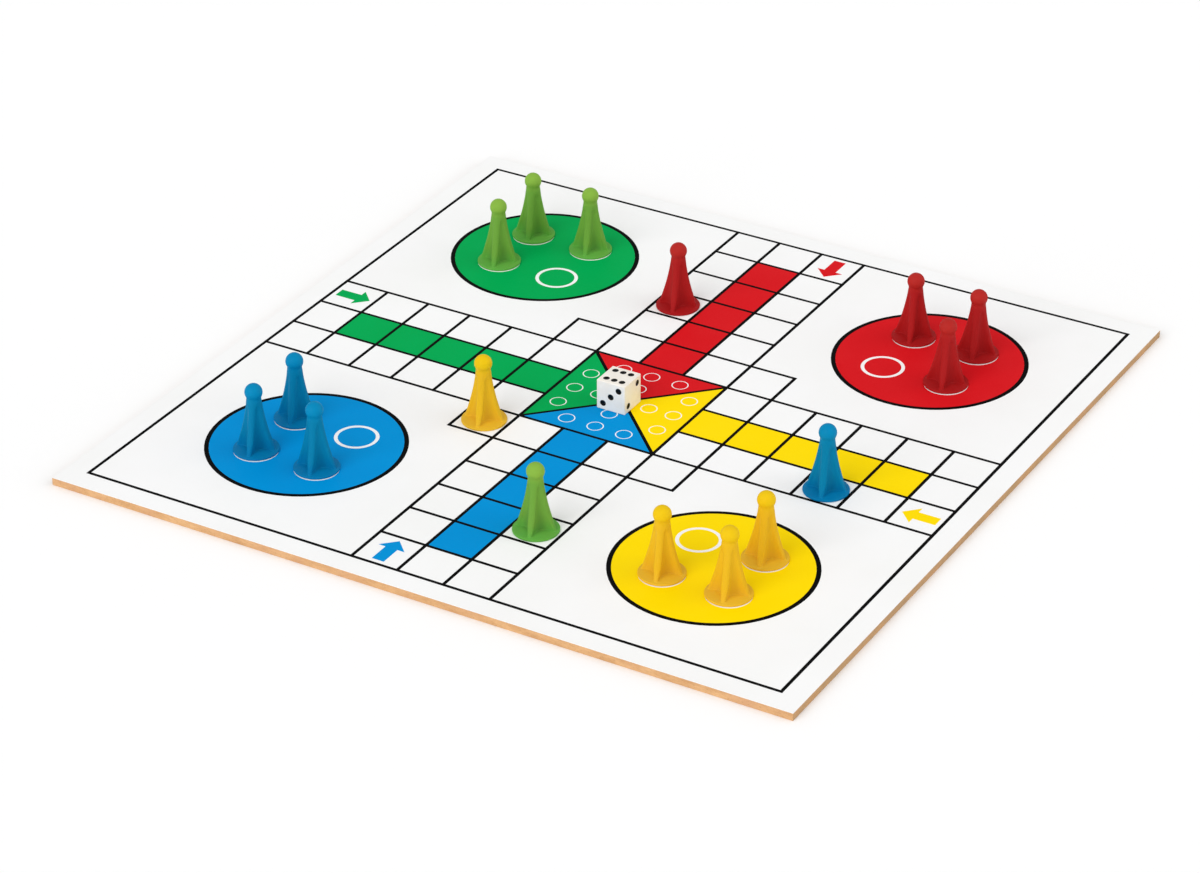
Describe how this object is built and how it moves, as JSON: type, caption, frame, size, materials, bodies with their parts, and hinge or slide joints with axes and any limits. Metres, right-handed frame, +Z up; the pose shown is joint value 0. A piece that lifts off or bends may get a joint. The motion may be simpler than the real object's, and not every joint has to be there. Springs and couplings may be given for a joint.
{
  "type": "ludo board",
  "caption": "Square fibreboard ludo board with a printed white face, ribbed pawns standing on their homes and the track, and a die on the goal.",
  "frame": {"origin": "centre of the board's underside", "axes": "+Z up out of the printed face; the blue lane runs from the middle along -Y, green along -X, red along +Y and yellow along +X"},
  "size_m": [0.3, 0.3, 0.0303],
  "materials": {
    "fibreboard": "bare sawn fibreboard",
    "white_face": "smooth satin white",
    "black_ink": "satin print",
    "blue_ink": "satin print",
    "green_ink": "satin print",
    "red_ink": "satin print",
    "yellow_ink": "satin print",
    "blue_plastic": "satin moulded plastic",
    "green_plastic": "satin moulded plastic",
    "red_plastic": "satin moulded plastic",
    "yellow_plastic": "satin moulded plastic",
    "ivory_plastic": "polished plastic",
    "black_paint": "paint in dimples"
  },
  "bodies": {
    "board": {"mdf_board": "fibreboard", "white_face": "white_face", "black_print": "black_ink", "blue_print": "blue_ink", "green_print": "green_ink", "red_print": "red_ink", "yellow_print": "yellow_ink"},
    "blue_pawn_1": {"blue_pawn_1": "blue_plastic"},
    "blue_pawn_2": {"blue_pawn_2": "blue_plastic"},
    "blue_pawn_3": {"blue_pawn_3": "blue_plastic"},
    "blue_pawn_4": {"blue_pawn_4": "blue_plastic"},
    "green_pawn_1": {"green_pawn_1": "green_plastic"},
    "green_pawn_2": {"green_pawn_2": "green_plastic"},
    "green_pawn_3": {"green_pawn_3": "green_plastic"},
    "green_pawn_4": {"green_pawn_4": "green_plastic"},
    "red_pawn_1": {"red_pawn_1": "red_plastic"},
    "red_pawn_2": {"red_pawn_2": "red_plastic"},
    "red_pawn_3": {"red_pawn_3": "red_plastic"},
    "red_pawn_4": {"red_pawn_4": "red_plastic"},
    "yellow_pawn_1": {"yellow_pawn_1": "yellow_plastic"},
    "yellow_pawn_2": {"yellow_pawn_2": "yellow_plastic"},
    "yellow_pawn_3": {"yellow_pawn_3": "yellow_plastic"},
    "yellow_pawn_4": {"yellow_pawn_4": "yellow_plastic"},
    "die": {"die_cube": "ivory_plastic", "die_pips": "black_paint"}
  },
  "joints": [
    {"name": "blue_pawn_1_lift", "type": "slide", "parent": "board", "child": "blue_pawn_1", "axis": [0, 0, 1], "range_m": [0, 0.06]},
    {"name": "blue_pawn_2_lift", "type": "slide", "parent": "board", "child": "blue_pawn_2", "axis": [0, 0, 1], "range_m": [0, 0.06]},
    {"name": "blue_pawn_3_lift", "type": "slide", "parent": "board", "child": "blue_pawn_3", "axis": [0, 0, 1], "range_m": [0, 0.06]},
    {"name": "blue_pawn_4_lift", "type": "slide", "parent": "board", "child": "blue_pawn_4", "axis": [0, 0, 1], "range_m": [0, 0.06]},
    {"name": "green_pawn_1_lift", "type": "slide", "parent": "board", "child": "green_pawn_1", "axis": [0, 0, 1], "range_m": [0, 0.06]},
    {"name": "green_pawn_2_lift", "type": "slide", "parent": "board", "child": "green_pawn_2", "axis": [0, 0, 1], "range_m": [0, 0.06]},
    {"name": "green_pawn_3_lift", "type": "slide", "parent": "board", "child": "green_pawn_3", "axis": [0, 0, 1], "range_m": [0, 0.06]},
    {"name": "green_pawn_4_lift", "type": "slide", "parent": "board", "child": "green_pawn_4", "axis": [0, 0, 1], "range_m": [0, 0.06]},
    {"name": "red_pawn_1_lift", "type": "slide", "parent": "board", "child": "red_pawn_1", "axis": [0, 0, 1], "range_m": [0, 0.06]},
    {"name": "red_pawn_2_lift", "type": "slide", "parent": "board", "child": "red_pawn_2", "axis": [0, 0, 1], "range_m": [0, 0.06]},
    {"name": "red_pawn_3_lift", "type": "slide", "parent": "board", "child": "red_pawn_3", "axis": [0, 0, 1], "range_m": [0, 0.06]},
    {"name": "red_pawn_4_lift", "type": "slide", "parent": "board", "child": "red_pawn_4", "axis": [0, 0, 1], "range_m": [0, 0.06]},
    {"name": "yellow_pawn_1_lift", "type": "slide", "parent": "board", "child": "yellow_pawn_1", "axis": [0, 0, 1], "range_m": [0, 0.06]},
    {"name": "yellow_pawn_2_lift", "type": "slide", "parent": "board", "child": "yellow_pawn_2", "axis": [0, 0, 1], "range_m": [0, 0.06]},
    {"name": "yellow_pawn_3_lift", "type": "slide", "parent": "board", "child": "yellow_pawn_3", "axis": [0, 0, 1], "range_m": [0, 0.06]},
    {"name": "yellow_pawn_4_lift", "type": "slide", "parent": "board", "child": "yellow_pawn_4", "axis": [0, 0, 1], "range_m": [0, 0.06]},
    {"name": "die_lift", "type": "slide", "parent": "board", "child": "die", "axis": [0, 0, 1], "range_m": [0, 0.06]}
  ]
}
